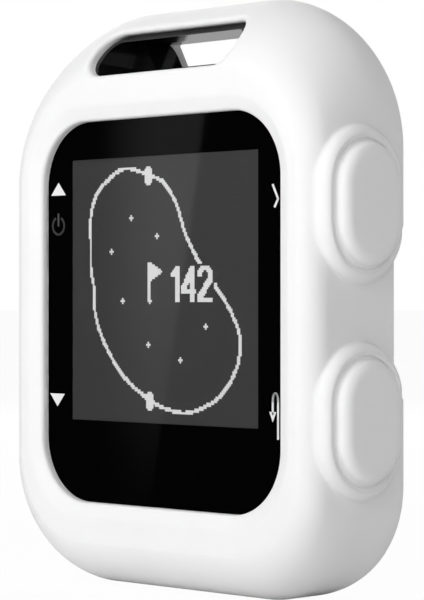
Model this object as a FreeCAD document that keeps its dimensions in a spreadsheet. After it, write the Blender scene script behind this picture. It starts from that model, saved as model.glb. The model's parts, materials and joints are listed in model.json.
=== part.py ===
"""Handheld golf GPS receiver in a silicone jacket, driven by one sheet of sizes.

The screen faces -Y, +X is to the right of the screen and +Z is up. The origin is on the
surface that the receiver stands on, under the middle of the jacket. Depths are measured
from the jacket's front plane towards +Y. Millimetres throughout.
"""

import FreeCAD, Part
import math
import os

import Sketcher
from FreeCAD import Placement, Rotation, Vector

SIZES = {
    # the jacket's outer form
    "body_width": 52.0,
    "body_height": 71.0,
    "body_depth": 16.1,
    "top_corner": 15.75,
    "bottom_corner": 12.85,
    "side_round": 2.9,
    "top_slope_drop": 8.8,
    "top_slope_depth": 10.5,
    "top_slope_power": 1.5,
    "bottom_slope_drop": 5.9,
    "bottom_slope_depth": 7.6,
    "bottom_slope_power": 1.8,
    "back_top_drop": 3.4,
    "back_top_depth": 5.5,
    "back_bottom_drop": 1.2,
    "back_bottom_depth": 3.4,
    "back_side_round": 0.5,
    "jacket_wall": 1.5,
    "front_lip": 1.2,
    "slip_gap": 0.05,
    # the window in the jacket and the band left open across its back
    "window_width": 40.8,
    "window_bottom": 10.35,
    "window_height": 46.8,
    "window_corner": 7.85,
    "band_bottom": 23.9,
    "band_height": 19.6,
    "band_depth": 14.3,
    # the lanyard slot: round-ended in front of the slot split, with leaning ends behind it
    "slot_width": 24.7,
    "slot_bottom": 62.6,
    "slot_height": 5.4,
    "slot_corner": 2.5,
    "slot_split": 9.5,
    "slot_back_top": 22.8,
    "slot_back_bottom": 17.3,
    "slot_back_height": 5.1,
    "tunnel_step": 0.2,
    "lip_step": 0.9,
    "collar_depth": 0.8,
    # buttons; those on the left are smaller all round by the left step
    "left_step": 1.0,
    "button_depth": 8.0,
    "button_middle": 33.75,
    "button_offset": 12.4,
    "boss_width": 13.6,
    "boss_length": 18.1,
    "boss_rise": 1.5,
    "boss_round": 1.35,
    "dish_width": 11.9,
    "dish_length": 15.8,
    "dish_sink": 0.3,
    "pad_width": 10.2,
    "pad_length": 14.1,
    "pad_rise": 2.65,
    "pad_round": 1.3,
    "pad_gap": 0.1,
    "key_width": 3.9,
    "key_length": 8.9,
    "key_gap": 0.05,
    "key_rise": 0.75,
    "flange_width": 5.2,
    "flange_length": 10.2,
    "flange_height": 0.8,
    "seal_width": 5.8,
    "seal_length": 10.8,
    "seal_height": 0.75,
    "stem_radius": 0.85,
    "stem_height": 1.95,
    "switch_height": 2.7,
    "switch_width": 6.0,
    "switch_tall": 3.0,
    "switch_bore": 1.4,
    "switch_face": 20.3,
    # the two housings
    "housing_wall": 1.5,
    "split_depth": 10.6,
    "cavity_bottom": 4.2,
    "cavity_top": 61.3,
    "cavity_corner": 8.0,
    "front_cavity_bottom": 6.2,
    "front_cavity_top": 59.5,
    "front_cavity_depth": 4.9,
    "ledge_back": 2.95,
    "post_radius": 2.2,
    "rib_radius": 1.2,
    "rib_x": 18.6,
    "rib_low": 14.5,
    "rib_high": 51.5,
    "screw_radius": 0.8,
    "screw_head_radius": 1.5,
    "screw_head_height": 1.0,
    "screw_tip_depth": 5.6,
    "screw_gap": 0.05,
    "low_screw_x": 19.3,
    "low_screw_z": 8.0,
    "high_screw_x": 18.6,
    "high_screw_z": 57.6,
    "gasket_side": 0.7,
    "gasket_inset": 0.4,
    # the display stack
    "glass_width": 42.0,
    "glass_bottom": 9.75,
    "glass_height": 48.0,
    "glass_corner": 8.45,
    "glass_thick": 0.5,
    "tape_thick": 0.2,
    "tape_inset": 0.2,
    "panel_width": 35.5,
    "panel_bottom": 17.3,
    "panel_height": 37.1,
    "panel_corner": 0.4,
    "panel_thick": 1.4,
    "panel_front": 1.85,
    "aperture_gap": 0.35,
    "light_thick": 1.15,
    "light_inset": 0.25,
    "carrier_wall": 1.75,
    "carrier_rim": 0.7,
    "carrier_back": 5.0,
    "carrier_floor": 0.5,
    "flex_width": 14.0,
    "flex_thick": 0.15,
    "flex_low": 15.05,
    # the electronics
    "board_width": 40.8,
    "board_bottom": 11.5,
    "board_height": 43.0,
    "board_front": 9.4,
    "board_thick": 0.8,
    "tongue_width": 24.0,
    "tongue_height": 6.3,
    "socket_width": 16.0,
    "socket_height": 3.0,
    "socket_thick": 1.2,
    "battery_width": 30.0,
    "battery_bottom": 17.5,
    "battery_height": 26.0,
    "battery_thick": 3.4,
    "battery_round": 1.2,
    "lead_radius": 0.4,
    "lead_x": 11.75,
    "lead_pitch": 1.2,
    "plug_width": 4.5,
    "plug_height": 3.2,
    "plug_thick": 2.0,
    "antenna_side": 15.0,
    "antenna_bottom": 45.2,
    "antenna_thick": 4.0,
    "can_width": 20.0,
    "can_height": 15.0,
    "can_thick": 1.6,
    "can_sheet": 0.2,
    "can_x": -2.0,
    "can_bottom": 36.5,
    "chip_side": 8.0,
    "chip_thick": 1.0,
    # the charging port and its cap
    "port_z": 29.0,
    "port_width": 7.5,
    "port_height": 2.6,
    "port_wall": 0.32,
    "port_floor": 0.5,
    "port_tongue_width": 5.2,
    "port_tongue_thick": 0.5,
    "port_gap": 0.15,
    "cap_width": 13.0,
    "cap_height": 6.4,
    "cap_thick": 1.0,
    "cap_corner": 1.2,
    "cap_plug_width": 6.2,
    "cap_plug_height": 1.3,
    "cap_plug_depth": 0.6,
    "cap_recess": 1.1,
    "notch_width": 1.4,
    "notch_height": 2.6,
}
SECTION_COUNT = 12
TIGHTEST_CORNER = 2.0
SLOPE_PARTS = ("drop", "depth", "power")
SAME_PLACE = 1e-6
SIDES = {"right": 1, "left": -1}
BUTTONS = {
    "up": ("left", 1),
    "down": ("left", -1),
    "ok": ("right", 1),
    "back": ("right", -1),
}

doc = FreeCAD.newDocument("golf_gps_receiver")
sheet = doc.addObject("Spreadsheet::Sheet", "Sizes")
for row, (alias, number) in enumerate(SIZES.items(), start=1):
    sheet.set(f"A{row}", alias)
    sheet.set(f"B{row}", str(number))
    sheet.setAlias(f"B{row}", alias)
doc.recompute()


def size(alias):
    """A driving dimension, read back from the sheet."""
    return float(sheet.get(alias))


def cells(expression):
    """The expression with each alias written as a reference to its cell."""
    words = []
    word = ""
    for letter in str(expression) + " ":
        if letter.isalnum() or letter in "_.":
            word += letter
            continue
        words.append(f"Sizes.{word}" if word in SIZES else word)
        words.append(letter)
        word = ""
    return "".join(words).strip()


def number(expression):
    """The present value of an expression of the sheet's cells."""
    return float(sheet.evalExpression(cells(expression)))


def bind(item, **expressions):
    """Binds properties of a document object to expressions of the sheet's cells."""
    for name, expression in expressions.items():
        item.setExpression(name, cells(expression))


def place(item, x="0", depth="body_depth / 2", z="0"):
    """Places an object's own origin at x, a depth behind the front plane, and z."""
    item.setExpression("Placement.Base.x", cells(x))
    item.setExpression("Placement.Base.y", cells(f"({depth}) - body_depth / 2"))
    item.setExpression("Placement.Base.z", cells(z))
    return item


def block(label, x, depth, z, width, thick, height):
    """A box from its low corner: x, depth and z, then its sizes along X, Y and Z."""
    item = doc.addObject("Part::Box", label)
    item.Label = label
    bind(item, Length=width, Width=thick, Height=height)
    return place(item, x, depth, z)


def rod(label, radius, length, x, depth, z, axis):
    """A cylinder that starts at x, depth, z and runs along an axis."""
    item = doc.addObject("Part::Cylinder", label)
    item.Label = label
    bind(item, Radius=radius, Height=length)
    item.Placement.Rotation = Rotation(Vector(0, 0, 1), Vector(*axis))
    return place(item, x, depth, z)


def boolean(kind, label, *shapes):
    """A Part boolean of document objects: Cut takes two, the others two or more."""
    item = doc.addObject(f"Part::{kind}", label)
    item.Label = label
    if kind == "Cut":
        item.Base, item.Tool = shapes
    else:
        item.Shapes = list(shapes)
    return item


def group(label, *shapes):
    """Several solids kept apart in one object."""
    item = doc.addObject("Part::Compound", label)
    item.Label = label
    item.Links = list(shapes)
    return item


def without(label, base, *tools):
    """The base less the tools."""
    tool = tools[0] if len(tools) == 1 else boolean("MultiFuse", f"{label}_tools", *tools)
    return boolean("Cut", label, base, tool)


def origin_plane(body, role):
    return next(f for f in body.Origin.OriginFeatures if f.Role == role)


def new_sketch(body, role):
    sketch = body.newObject("Sketcher::SketchObject", f"{body.Name}_outline")
    sketch.AttachmentSupport = [(origin_plane(body, role), "")]
    sketch.MapMode = "FlatFace"
    return sketch


def dimension(sketch, name, expression, kind, *where):
    """A named driving constraint bound to the sheet."""
    index = sketch.addConstraint(Sketcher.Constraint(kind, *where, number(expression)))
    sketch.renameConstraint(index, name)
    sketch.setExpression(f"Constraints.{name}", cells(expression))


def add_arc(sketch, x, y, radius, start):
    """A quarter or half turn round x, y from the angle start, in degrees."""
    first, sweep = start
    circle = Part.Circle(Vector(x, y, 0), Vector(0, 0, 1), radius)
    turn = math.radians(first), math.radians(first + sweep)
    return sketch.addGeometry(Part.ArcOfCircle(circle, *turn))


def join_smoothly(sketch, loop):
    """Makes each piece of a closed loop run into the next with no corner."""
    for one, following in zip(loop, loop[1:] + loop[:1]):
        sketch.addConstraint(Sketcher.Constraint("Tangent", one, 2, following, 1))


def draw_rounded_rectangle(sketch, width, height, radius):
    """A rectangle with round corners, centred on the sketch's origin."""
    half_x, half_y, bend = number(width) / 2, number(height) / 2, number(radius)
    in_x, in_y = half_x - bend, half_y - bend
    ends = [
        ((-in_x, -half_y), (in_x, -half_y)),
        ((half_x, -in_y), (half_x, in_y)),
        ((in_x, half_y), (-in_x, half_y)),
        ((-half_x, in_y), (-half_x, -in_y)),
    ]
    centres = [(in_x, -in_y), (in_x, in_y), (-in_x, in_y), (-in_x, -in_y)]
    loop = []
    for side, (start, end) in enumerate(ends):
        line = Part.LineSegment(Vector(*start, 0), Vector(*end, 0))
        loop.append(sketch.addGeometry(line))
        loop.append(add_arc(sketch, *centres[side], bend, (90 * side - 90, 90)))
    join_smoothly(sketch, loop)
    bottom, low_right, right, _, top, high_left, left, low_left = loop
    for line in (bottom, top):
        sketch.addConstraint(Sketcher.Constraint("Horizontal", line))
    for line in (right, left):
        sketch.addConstraint(Sketcher.Constraint("Vertical", line))
    for arc in (loop[3], high_left, low_left):
        sketch.addConstraint(Sketcher.Constraint("Equal", low_right, arc))
    sketch.addConstraint(Sketcher.Constraint("Symmetric", low_right, 3, high_left, 3, -1, 1))
    dimension(sketch, "width", width, "DistanceX", left, 1, right, 1)
    dimension(sketch, "height", height, "DistanceY", bottom, 1, top, 1)
    dimension(sketch, "corner", radius, "Radius", low_right)


def draw_oblong(sketch, width, length):
    """An oblong with half-round ends, long way up, centred on the sketch's origin."""
    half_x = number(width) / 2
    half_y = number(length) / 2 - half_x
    right = sketch.addGeometry(
        Part.LineSegment(Vector(half_x, -half_y, 0), Vector(half_x, half_y, 0))
    )
    top = add_arc(sketch, 0, half_y, half_x, (0, 180))
    left = sketch.addGeometry(
        Part.LineSegment(Vector(-half_x, half_y, 0), Vector(-half_x, -half_y, 0))
    )
    bottom = add_arc(sketch, 0, -half_y, half_x, (180, 180))
    join_smoothly(sketch, [right, top, left, bottom])
    for line in (right, left):
        sketch.addConstraint(Sketcher.Constraint("Vertical", line))
    sketch.addConstraint(Sketcher.Constraint("Symmetric", bottom, 3, top, 3, -1, 1))
    dimension(sketch, "radius", f"({width}) / 2", "Radius", top)
    dimension(sketch, "run", f"({length}) - ({width})", "DistanceY", bottom, 3, top, 3)


def draw_taper(sketch, top, bottom, height):
    """A flat-topped shape with leaning ends, centred on the sketch's origin."""
    high, low, half = number(top) / 2, number(bottom) / 2, number(height) / 2
    ends = [(-low, -half), (low, -half), (high, half), (-high, half)]
    lines = [
        sketch.addGeometry(Part.LineSegment(Vector(*start, 0), Vector(*end, 0)))
        for start, end in zip(ends, ends[1:] + ends[:1])
    ]
    for one, following in zip(lines, lines[1:] + lines[:1]):
        sketch.addConstraint(Sketcher.Constraint("Coincident", one, 2, following, 1))
    under, _, over, _ = lines
    for line in (under, over):
        sketch.addConstraint(Sketcher.Constraint("Symmetric", line, 1, line, 2, -2))
    dimension(sketch, "bottom", bottom, "DistanceX", under, 1, under, 2)
    dimension(sketch, "top", top, "DistanceX", over, 2, over, 1)
    dimension(sketch, "height", height, "DistanceY", under, 2, over, 1)
    dimension(sketch, "rise", f"({height}) / 2", "DistanceY", -1, 1, over, 1)


def padded_body(label, role, draw, sizes, length):
    """A PartDesign body: one sketch on an origin plane, padded by a length."""
    body = doc.addObject("PartDesign::Body", label)
    body.Label = label
    sketch = new_sketch(body, role)
    draw(sketch, *sizes)
    pad = body.newObject("PartDesign::Pad", f"{label}_pad")
    pad.Profile = sketch
    bind(pad, Length=length)
    doc.recompute()
    return body


def plate(label, width, height, corner, front, back, bottom):
    """A round-cornered plate facing the front, between two depths, on a bottom edge."""
    sizes = (width, height, corner)
    body = padded_body(label, "XZ_Plane", draw_rounded_rectangle, sizes, f"({back}) - ({front})")
    return place(body, "0", back, f"({bottom}) + ({height}) / 2")


def far_edges(shape):
    """The names of the edges round the face that is furthest along the shape's own X."""
    far = max(edge.BoundBox.XMax for edge in shape.Edges)
    return [
        f"Edge{index}"
        for index, edge in enumerate(shape.Edges, start=1)
        if edge.BoundBox.XMin > far - SAME_PLACE
    ]


def oblong(label, button, width, length, start, end, rounding=None):
    """An oblong for one button, from x = start to x = end, measured outwards."""
    side, level = BUTTONS[button]
    body = padded_body(label, "YZ_Plane", draw_oblong, (width, length), f"({end}) - ({start})")
    if rounding:
        pad = body.Tip
        fillet = body.newObject("PartDesign::Fillet", f"{label}_fillet")
        fillet.Base = (pad, far_edges(pad.Shape))
        bind(fillet, Radius=rounding)
        doc.recompute()
    if SIDES[side] < 0:
        body.Placement.Rotation = Rotation(Vector(0, 0, 1), 180)
    height = f"button_middle + {level} * button_offset"
    return place(body, f"{SIDES[side]} * ({start})", "button_depth", height)


def girth(button, alias):
    """A width or length of one button's jacket parts, as an expression."""
    side, _ = BUTTONS[button]
    return alias if side == "right" else f"({alias} - 2 * left_step)"


def ease(distance, drop, depth, power):
    """How far a rounded edge still drops at a distance behind the plane where it starts."""
    left = max(0.0, 1.0 - distance / depth)
    return drop * (1.0 - (1.0 - left**power) ** (1.0 / power))


def outline(depth, front, back, inset):
    """The crowned form's closed outline at one depth, as a wire of four lines and four arcs."""
    ahead, behind = depth - front, back - depth
    side = inset + ease(ahead, size("side_round"), size("side_round"), 2)
    side += ease(behind, size("back_side_round"), size("back_side_round"), 2)
    over = inset + ease(ahead, *(size(f"top_slope_{part}") for part in SLOPE_PARTS))
    over += ease(behind, size("back_top_drop"), size("back_top_depth"), 2)
    under = inset + ease(ahead, *(size(f"bottom_slope_{part}") for part in SLOPE_PARTS))
    under += ease(behind, size("back_bottom_drop"), size("back_bottom_depth"), 2)
    half = size("body_width") / 2 - side
    top, bottom = size("body_height") - over, under
    high = max(TIGHTEST_CORNER, size("top_corner") - min(side, over))
    low = max(TIGHTEST_CORNER, size("bottom_corner") - min(side, under))
    y = depth - size("body_depth") / 2
    corners = [
        (half - low, bottom + low, low, -90),
        (half - high, top - high, high, 0),
        (high - half, top - high, high, 90),
        (low - half, bottom + low, low, 180),
    ]
    arcs = [quarter(x, y, z, radius, start) for x, z, radius, start in corners]
    edges = []
    for arc, following in zip(arcs, arcs[1:] + arcs[:1]):
        edges += [arc, Part.LineSegment(arc.EndPoint, following.StartPoint)]
    return Part.Wire([edge.toShape() for edge in edges])


def quarter(x, y, z, radius, start):
    """A quarter turn in an XZ plane, counted from +X towards +Z."""
    points = []
    for angle in (start, start + 45, start + 90):
        turn = math.radians(angle)
        points.append(Vector(x + radius * math.cos(turn), y, z + radius * math.sin(turn)))
    return Part.Arc(*points)


def crowned(label, front, back, inset):
    """The body's crowned form between two depths, drawn in by an inset all round."""
    middle = (front + back) / 2
    depths = []
    for step in range(SECTION_COUNT):
        share = (step / (SECTION_COUNT - 1)) ** 2
        depths += [front + share * (middle - front), back - share * (back - middle)]
    wires = [outline(depth, front, back, inset) for depth in sorted(set(depths))]
    item = doc.addObject("Part::Feature", label)
    item.Shape = Part.makeLoft(wires, True, True)
    item.Placement = Placement()
    return item


# Depths and half widths that several pieces share, as expressions of the sheet's cells.
WALL_OUT = "body_width / 2"
WALL_IN = "(body_width / 2 - jacket_wall)"
SHELL_OUT = "(body_width / 2 - jacket_wall - slip_gap)"
SHELL_IN = "(body_width / 2 - jacket_wall - slip_gap - housing_wall)"
SHELL_FRONT = "(front_lip + slip_gap)"
SHELL_BACK = "(body_depth - jacket_wall - slip_gap)"
GLASS_BACK = "(front_lip + slip_gap + glass_thick)"
LEDGE_FRONT = "(front_lip + slip_gap + glass_thick + tape_thick)"
BOARD_BACK = "(board_front + board_thick)"
INNER_BACK = "(body_depth - jacket_wall - slip_gap - housing_wall)"
KEY_TOP = f"({SHELL_OUT} + key_rise)"
SEAL_FOOT = f"({SHELL_IN} - seal_height)"
FLANGE_TOP = f"({SHELL_IN} - seal_height - slip_gap)"
STEM_TOP = f"({SHELL_IN} - seal_height - slip_gap - flange_height)"
FAR = "body_depth"


def slot_front(label, step, foot, start, end):
    """The lanyard slot's round-ended part, drawn in by a step, and by a foot below."""
    return plate(
        label,
        f"slot_width - 2 * {step}",
        f"slot_height - {step} - {foot}",
        f"slot_corner - {step}",
        start,
        end,
        f"slot_bottom + {foot}",
    )


def slot_back(label, step):
    """The lanyard slot's part with leaning ends, drawn in by a step all round."""
    sizes = (
        f"slot_back_top - 2 * {step}",
        f"slot_back_bottom - 2 * {step}",
        f"slot_back_height - 2 * {step}",
    )
    body = padded_body(label, "XZ_Plane", draw_taper, sizes, f"{FAR} + 1 - slot_split")
    return place(body, "0", f"{FAR} + 1", "slot_bottom + slot_back_height / 2")


def jacket(cavity):
    """The silicone skin: crowned outside, hollow, with window, slot, back band and bosses."""
    outer = crowned("jacket_form", 0.0, size("body_depth"), 0.0)
    skin = boolean("Cut", "jacket_skin", outer, cavity)
    bosses = [
        oblong(
            f"{button}_boss",
            button,
            girth(button, "boss_width"),
            girth(button, "boss_length"),
            f"{WALL_IN} + slip_gap",
            f"{WALL_OUT} + boss_rise",
            "boss_round",
        )
        for button in BUTTONS
    ]
    window = plate(
        "window_space",
        "window_width",
        "window_height",
        "window_corner",
        "-1",
        "front_lip + 1",
        "window_bottom",
    )
    band = block(
        "band_space",
        f"-{WALL_OUT} - 1",
        "band_depth",
        "band_bottom",
        "body_width + 2",
        "jacket_wall + 1",
        "band_height",
    )
    cutters = [
        window,
        slot_front("jacket_slot_front", "0", "0", "-1", "slot_split"),
        slot_back("jacket_slot_back", "0"),
    ]
    for button in BUTTONS:
        cutters.append(
            oblong(
                f"{button}_dish_space",
                button,
                girth(button, "dish_width"),
                girth(button, "dish_length"),
                f"{WALL_OUT} + boss_rise - dish_sink",
                f"{WALL_OUT} + boss_rise + 1",
            )
        )
        cutters.append(
            oblong(
                f"{button}_pad_space",
                button,
                girth(button, "pad_width") + " + 2 * pad_gap",
                girth(button, "pad_length") + " + 2 * pad_gap",
                f"{WALL_IN} - 1",
                f"{WALL_OUT} + boss_rise + 1",
            )
        )
    walls = boolean("Cut", "jacket_walls", skin, band)
    with_bosses = boolean("MultiFuse", "jacket_with_bosses", walls, *bosses)
    return without("silicone_jacket", with_bosses, *cutters)


def screw_places():
    """Each housing screw's side, place across and place up."""
    return [
        (f"{side}_{level}", f"{sign} * {level}_screw_x", f"{level}_screw_z")
        for side, sign in SIDES.items()
        for level in ("low", "high")
    ]


def screw_space(radius, start, end, tag):
    """Holes along the depth at every screw."""
    return [
        rod(f"{name}_{tag}", radius, f"({end}) - ({start})", x, start, z, (0, 1, 0))
        for name, x, z in screw_places()
    ]


def gasket_ring(label, grow, front, back):
    """A ring between the housings: outside edge less inside edge, each grown a little."""
    across = f"2 * {SHELL_IN} + 2 * gasket_inset"
    up = "cavity_top - cavity_bottom + 2 * gasket_inset"
    bend = "cavity_corner + gasket_inset"
    low = "cavity_bottom - gasket_inset"
    outer = plate(
        f"{label}_outside",
        f"{across} + 2 * gasket_side + 2 * {grow}",
        f"{up} + 2 * gasket_side + 2 * {grow}",
        f"{bend} + gasket_side + {grow}",
        front,
        back,
        f"{low} - gasket_side - {grow}",
    )
    inner = plate(
        f"{label}_inside",
        f"{across} - 2 * {grow}",
        f"{up} - 2 * {grow}",
        f"{bend} - {grow}",
        front,
        back,
        f"{low} + {grow}",
    )
    return boolean("Cut", label, outer, inner)


def slot_collar():
    """What stands forward of the front shell inside the jacket's slot, just under its rim."""
    outline = slot_front("collar_outline", "slip_gap", "slip_gap", "0", "slot_split + 1")
    depth = size("collar_depth")
    crown = crowned("collar_crown", depth, size("body_depth"), depth)
    return boolean("MultiCommon", "slot_collar", outline, crown)


def front_housing(form):
    """The front shell, with the glass seat, the display's ledge, the tunnel and the key holes."""
    kept = block(
        "front_keep", f"-{WALL_OUT}", "0", "0", "body_width", "split_depth", "body_height"
    )
    hull = boolean("MultiFuse", "collared_form", form, slot_collar())
    shell = boolean("MultiCommon", "front_shell", hull, kept)
    glass_seat = plate(
        "glass_seat_space",
        "glass_width + 2 * slip_gap",
        "glass_height + 2 * slip_gap",
        "glass_corner + slip_gap",
        "-1",
        LEDGE_FRONT,
        "glass_bottom - slip_gap",
    )
    aperture = plate(
        "aperture_space",
        "panel_width + 2 * aperture_gap",
        "panel_height + 2 * aperture_gap",
        "panel_corner",
        "0",
        "ledge_back + 1",
        "panel_bottom - aperture_gap",
    )
    shallow = plate(
        "front_shallow_space",
        f"2 * {SHELL_IN} - 2",
        "front_cavity_top - front_cavity_bottom",
        "cavity_corner",
        "ledge_back",
        "front_cavity_depth + 1",
        "front_cavity_bottom",
    )
    deep = plate(
        "front_deep_space",
        f"2 * {SHELL_IN}",
        "cavity_top - cavity_bottom",
        "cavity_corner",
        "front_cavity_depth",
        "split_depth + 1",
        "cavity_bottom",
    )
    posts = screw_space("post_radius", "ledge_back", "split_depth", "front_post")
    hollow = without("front_hollow", boolean("MultiFuse", "front_space", shallow, deep), *posts)
    keys = [
        oblong(
            f"{button}_key_space",
            button,
            "key_width + 2 * key_gap",
            "key_length + 2 * key_gap",
            f"{SHELL_IN} - 1",
            f"{SHELL_OUT} + 1",
        )
        for button in BUTTONS
    ]
    threads = screw_space("screw_radius", "screw_tip_depth", "split_depth + 1", "thread_space")
    groove = gasket_ring(
        "front_groove_space", "slip_gap", "split_depth - gasket_side / 2", "split_depth + 1"
    )
    tunnel = [
        slot_front("front_tunnel_lip", "lip_step", "tunnel_step", "-1", "slot_split"),
        slot_back("front_tunnel_back", "tunnel_step"),
    ]
    cutters = [glass_seat, aperture, hollow, groove, *tunnel, *keys, *threads]
    return without("front_housing", shell, *cutters)


def rear_housing(form):
    """The back shell, with board rests, screw posts, the port's recess and the tunnel."""
    kept = block(
        "rear_keep",
        f"-{WALL_OUT}",
        "split_depth",
        "0",
        "body_width",
        "body_depth",
        "body_height",
    )
    shell = boolean("MultiCommon", "rear_shell", form, kept)
    room = plate(
        "rear_room",
        f"2 * {SHELL_IN}",
        "cavity_top - cavity_bottom",
        "cavity_corner",
        "split_depth - 1",
        INNER_BACK,
        "cavity_bottom",
    )
    rests = [
        rod(
            f"{side}_{level}_rest",
            "rib_radius",
            f"{INNER_BACK} - {BOARD_BACK}",
            f"{sign} * rib_x",
            BOARD_BACK,
            f"rib_{level}",
            (0, 1, 0),
        )
        for side, sign in SIDES.items()
        for level in ("low", "high")
    ]
    posts = screw_space("post_radius", "split_depth", INNER_BACK, "rear_post")
    hollow = without("rear_hollow", room, *posts)
    shafts = screw_space("screw_radius + screw_gap", "split_depth - 1", FAR, "shaft_space")
    heads = screw_space(
        "screw_head_radius + screw_gap",
        f"{SHELL_BACK} - screw_head_height - 2 * screw_gap",
        f"{FAR} + 1",
        "head_space",
    )
    recess = plate(
        "cap_recess_space",
        "cap_width + 2 * port_gap",
        "cap_height + 2 * port_gap",
        "cap_corner",
        f"{SHELL_BACK} - cap_recess",
        f"{FAR} + 1",
        "port_z - cap_height / 2 - port_gap",
    )
    notch = block(
        "notch_space",
        "cap_width / 2",
        f"{SHELL_BACK} - cap_recess / 2",
        "port_z - notch_height / 2",
        "notch_width",
        "cap_recess + 1",
        "notch_height",
    )
    port = block(
        "port_space",
        "-port_width / 2 - slip_gap",
        f"{INNER_BACK} - 1",
        "port_z - port_height / 2 - slip_gap",
        "port_width + 2 * slip_gap",
        "housing_wall + 2",
        "port_height + 2 * slip_gap",
    )
    groove = gasket_ring(
        "rear_groove_space", "slip_gap", "split_depth - 1", "split_depth + gasket_side / 2"
    )
    tunnel = slot_back("rear_tunnel_space", "tunnel_step")
    cutters = [hollow, recess, notch, port, groove, tunnel, *shafts, *heads]
    solid = without("rear_cut_shell", shell, *cutters)
    return boolean("MultiFuse", "rear_housing", solid, *rests)


def housing_screws():
    """Four cap screws, kept as separate solids of one node."""
    screws = []
    for name, x, z in screw_places():
        head = rod(
            f"{name}_screw_head",
            "screw_head_radius",
            "screw_head_height",
            x,
            f"{SHELL_BACK} - screw_head_height - screw_gap",
            z,
            (0, 1, 0),
        )
        shank = rod(
            f"{name}_screw_shank",
            "screw_radius",
            f"{SHELL_BACK} - screw_head_height - screw_gap - screw_tip_depth",
            x,
            "screw_tip_depth",
            z,
            (0, 1, 0),
        )
        screws.append(boolean("MultiFuse", f"{name}_screw", head, shank))
    return group("housing_screws", *screws)


def display_stack():
    """Cover glass, its tape, the panel, the backlight, their carrier and the flex tail."""
    glass = plate(
        "cover_glass",
        "glass_width",
        "glass_height",
        "glass_corner",
        SHELL_FRONT,
        GLASS_BACK,
        "glass_bottom",
    )
    tape_outer = plate(
        "tape_outside",
        "glass_width - 2 * tape_inset",
        "glass_height - 2 * tape_inset",
        "glass_corner - tape_inset",
        GLASS_BACK,
        LEDGE_FRONT,
        "glass_bottom + tape_inset",
    )
    tape_inner = plate(
        "tape_inside",
        "panel_width + 2 * aperture_gap",
        "panel_height + 2 * aperture_gap",
        "panel_corner",
        "0",
        "ledge_back",
        "panel_bottom - aperture_gap",
    )
    tape = boolean("Cut", "glass_tape", tape_outer, tape_inner)
    panel = plate(
        "lcd_panel",
        "panel_width",
        "panel_height",
        "panel_corner",
        "panel_front",
        "panel_front + panel_thick",
        "panel_bottom",
    )
    light = plate(
        "backlight",
        "panel_width - 2 * light_inset",
        "panel_height - 2 * light_inset",
        "panel_corner",
        "panel_front + panel_thick + slip_gap",
        "panel_front + panel_thick + slip_gap + light_thick",
        "panel_bottom + light_inset",
    )
    return [glass, tape, panel, light, lcd_carrier(), lcd_flex(), flex_socket()]


def lcd_carrier():
    """The tray behind the ledge that holds panel and backlight, notched for the flex tail."""
    front = "(ledge_back + slip_gap)"
    low = "(panel_bottom - slip_gap - carrier_wall)"
    frame = plate(
        "carrier_outside",
        "panel_width + 2 * carrier_wall + 2 * slip_gap",
        "panel_height + carrier_wall + carrier_rim + 2 * slip_gap",
        "1",
        front,
        "carrier_back",
        low,
    )
    pocket = plate(
        "carrier_pocket",
        "panel_width + 2 * slip_gap",
        "panel_height + 2 * slip_gap",
        "panel_corner",
        "0",
        "carrier_back - carrier_floor",
        "panel_bottom - slip_gap",
    )
    notch = block(
        "carrier_notch",
        "-flex_width / 2 - 2 * slip_gap",
        front,
        f"{low} - 1",
        "flex_width + 4 * slip_gap",
        "carrier_back",
        "carrier_wall + 1",
    )
    return without("lcd_carrier", frame, pocket, notch)


def lcd_flex():
    """The panel's flat tail: down from the panel's lower edge, then back to its socket."""
    front = "(ledge_back + 2 * slip_gap)"
    drop = block(
        "flex_drop",
        "-flex_width / 2",
        front,
        "flex_low",
        "flex_width",
        "flex_thick",
        "panel_bottom - flex_low",
    )
    run = block(
        "flex_run",
        "-flex_width / 2",
        front,
        "flex_low",
        "flex_width",
        f"board_front - socket_thick - {front}",
        "flex_thick",
    )
    return boolean("MultiFuse", "lcd_flex", drop, run)


def flex_socket():
    """The connector on the board that takes the flex tail."""
    return block(
        "flex_socket",
        "-socket_width / 2",
        "board_front - socket_thick",
        "flex_low - socket_height / 2",
        "socket_width",
        "socket_thick",
        "socket_height",
    )


def circuit_board():
    """The main board, with a tongue under the antenna."""
    main = block(
        "board_main",
        "-board_width / 2",
        "board_front",
        "board_bottom",
        "board_width",
        "board_thick",
        "board_height",
    )
    tongue = block(
        "board_tongue",
        "-tongue_width / 2",
        "board_front",
        "board_bottom + board_height",
        "tongue_width",
        "board_thick",
        "tongue_height",
    )
    return boolean("MultiFuse", "circuit_board", main, tongue)


def board_parts():
    """What sits on the board: antenna, processor, its shield and the battery's socket."""
    antenna = block(
        "gps_antenna",
        "-antenna_side / 2",
        "board_front - antenna_thick",
        "antenna_bottom",
        "antenna_side",
        "antenna_thick",
        "antenna_side",
    )
    chip = block(
        "processor",
        "can_x - chip_side / 2",
        BOARD_BACK,
        "can_bottom + (can_height - chip_side) / 2",
        "chip_side",
        "chip_thick",
        "chip_side",
    )
    can = block(
        "can_outside",
        "can_x - can_width / 2",
        BOARD_BACK,
        "can_bottom",
        "can_width",
        "can_thick",
        "can_height",
    )
    inside = block(
        "can_inside",
        "can_x - can_width / 2 + can_sheet",
        "board_front",
        "can_bottom + can_sheet",
        "can_width - 2 * can_sheet",
        "board_thick + can_thick - can_sheet",
        "can_height - 2 * can_sheet",
    )
    plug = block(
        "battery_socket",
        "lead_x - plug_width / 2",
        "board_front - plug_thick",
        "board_bottom + slip_gap",
        "plug_width",
        "plug_thick",
        "plug_height",
    )
    return [antenna, chip, boolean("Cut", "processor_shield", can, inside), plug]


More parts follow.
